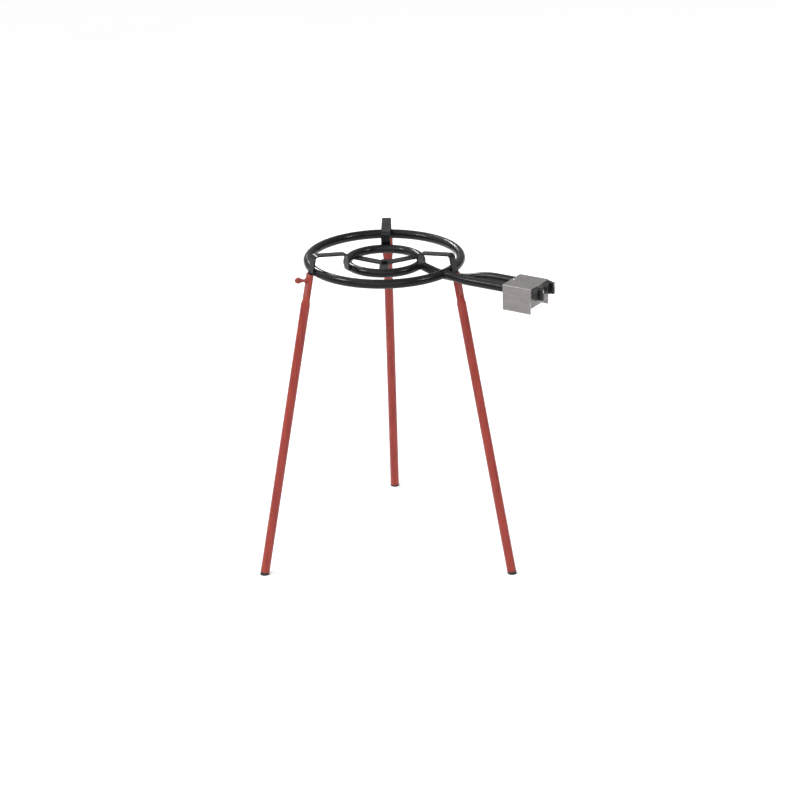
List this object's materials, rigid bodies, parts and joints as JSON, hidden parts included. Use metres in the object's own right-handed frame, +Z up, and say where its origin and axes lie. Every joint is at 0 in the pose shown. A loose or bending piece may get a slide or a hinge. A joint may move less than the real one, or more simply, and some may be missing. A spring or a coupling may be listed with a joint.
{
  "type": "two-ring gas burner on a tripod",
  "caption": "Two-ring gas burner with strip pan supports on splayed clamp-on tube legs, with bent feed tubes from a small valve box with push-and-turn taps.",
  "frame": {"origin": "on the floor under the common axis of the two rings", "axes": "+Z up along the ring axis, +X from the ring axis to the valve box, right-handed"},
  "size_m": [0.579, 0.5658, 0.7173],
  "materials": {
    "ring_enamel": "gloss",
    "feed_enamel": "gloss",
    "strip_black": "satin",
    "zinc_steel": "satin",
    "galvanised": "satin",
    "brass": "satin",
    "steel_pipe": "satin",
    "leg_red": "gloss",
    "screw_red": "gloss",
    "foot_plastic": "matte",
    "knob_black": "satin",
    "mark_white": "matte"
  },
  "bodies": {
    "burner": {"outer_ring": "ring_enamel", "inner_ring": "ring_enamel", "outer_feed_tube": "feed_enamel", "inner_feed_tube": "feed_enamel", "pan_support_a": "strip_black", "pan_support_b": "strip_black", "pan_support_c": "strip_black", "centre_brace": "strip_black", "brace_bolt": "strip_black", "brace_nut": "strip_black", "valve_box": "galvanised", "box_back_plate": "galvanised", "box_screw_a": "zinc_steel", "box_screw_b": "zinc_steel", "box_screw_c": "zinc_steel", "tap_body_outer": "brass", "tap_body_inner": "brass", "panel_nut_outer": "zinc_steel", "panel_nut_inner": "zinc_steel", "injector_outer": "brass", "injector_inner": "brass", "gas_rail": "steel_pipe", "gas_inlet": "brass", "inlet_nut": "zinc_steel"},
    "leg_a": {"leg_a": "leg_red", "foot_a": "foot_plastic", "leg_nut_a": "screw_red"},
    "pad_a": {"clamp_pad_a": "zinc_steel"},
    "screw_a": {"thumbscrew_a": "screw_red"},
    "leg_b": {"leg_b": "leg_red", "foot_b": "foot_plastic", "leg_nut_b": "screw_red"},
    "pad_b": {"clamp_pad_b": "zinc_steel"},
    "screw_b": {"thumbscrew_b": "screw_red"},
    "leg_c": {"leg_c": "leg_red", "foot_c": "foot_plastic", "leg_nut_c": "screw_red"},
    "pad_c": {"clamp_pad_c": "zinc_steel"},
    "screw_c": {"thumbscrew_c": "screw_red"},
    "plug_outer": {"tap_plug_outer": "brass"},
    "knob_outer": {"spindle_outer": "zinc_steel", "knob_outer": "knob_black", "knob_mark_outer": "mark_white"},
    "plug_inner": {"tap_plug_inner": "brass"},
    "knob_inner": {"spindle_inner": "zinc_steel", "knob_inner": "knob_black", "knob_mark_inner": "mark_white"}
  },
  "joints": [
    {"name": "leg_slide_a", "type": "slide", "parent": "burner", "child": "leg_a", "axis": [0.1968, 0, -0.9804], "range_m": [0, 0.058]},
    {"name": "pad_slide_a", "type": "slide", "parent": "leg_a", "child": "pad_a", "axis": [0.9804, 0, 0.1968], "range_m": [0, 0.0012]},
    {"name": "screw_turn_a", "type": "hinge", "parent": "pad_a", "child": "screw_a", "pos_m": [0.20165, 0, 0.66629], "axis": [0.9804, 0, 0.1968], "range_deg": [0, 432]},
    {"name": "leg_slide_b", "type": "slide", "parent": "burner", "child": "leg_b", "axis": [-0.0984, 0.1704, -0.9804], "range_m": [0, 0.058]},
    {"name": "pad_slide_b", "type": "slide", "parent": "leg_b", "child": "pad_b", "axis": [-0.4902, 0.8491, 0.1968], "range_m": [0, 0.0012]},
    {"name": "screw_turn_b", "type": "hinge", "parent": "pad_b", "child": "screw_b", "pos_m": [-0.10083, 0.17464, 0.66629], "axis": [-0.4902, 0.8491, 0.1968], "range_deg": [0, 432]},
    {"name": "leg_slide_c", "type": "slide", "parent": "burner", "child": "leg_c", "axis": [-0.0984, -0.1704, -0.9804], "range_m": [0, 0.058]},
    {"name": "pad_slide_c", "type": "slide", "parent": "leg_c", "child": "pad_c", "axis": [-0.4902, -0.8491, 0.1968], "range_m": [0, 0.0012]},
    {"name": "screw_turn_c", "type": "hinge", "parent": "pad_c", "child": "screw_c", "pos_m": [-0.10083, -0.17464, 0.66629], "axis": [-0.4902, -0.8491, 0.1968], "range_deg": [0, 432]},
    {"name": "tap_turn_outer", "type": "hinge", "parent": "burner", "child": "plug_outer", "pos_m": [0.36, -0.0235, 0.674], "axis": [1, 0, 0], "range_deg": [0, 180]},
    {"name": "knob_push_outer", "type": "slide", "parent": "plug_outer", "child": "knob_outer", "axis": [-1, 0, 0], "range_m": [0, 0.0025], "stiffness_N_per_m": 1500, "springref_m": -0.002},
    {"name": "tap_turn_inner", "type": "hinge", "parent": "burner", "child": "plug_inner", "pos_m": [0.36, 0.0235, 0.674], "axis": [1, 0, 0], "range_deg": [0, 180]},
    {"name": "knob_push_inner", "type": "slide", "parent": "plug_inner", "child": "knob_inner", "axis": [-1, 0, 0], "range_m": [0, 0.0025], "stiffness_N_per_m": 1500, "springref_m": -0.002}
  ],
  "couplings": [
    {"joint": "screw_turn_a", "follows": "pad_slide_a", "rad_per_m": 6283.2},
    {"joint": "screw_turn_b", "follows": "pad_slide_b", "rad_per_m": 6283.2},
    {"joint": "screw_turn_c", "follows": "pad_slide_c", "rad_per_m": 6283.2}
  ]
}
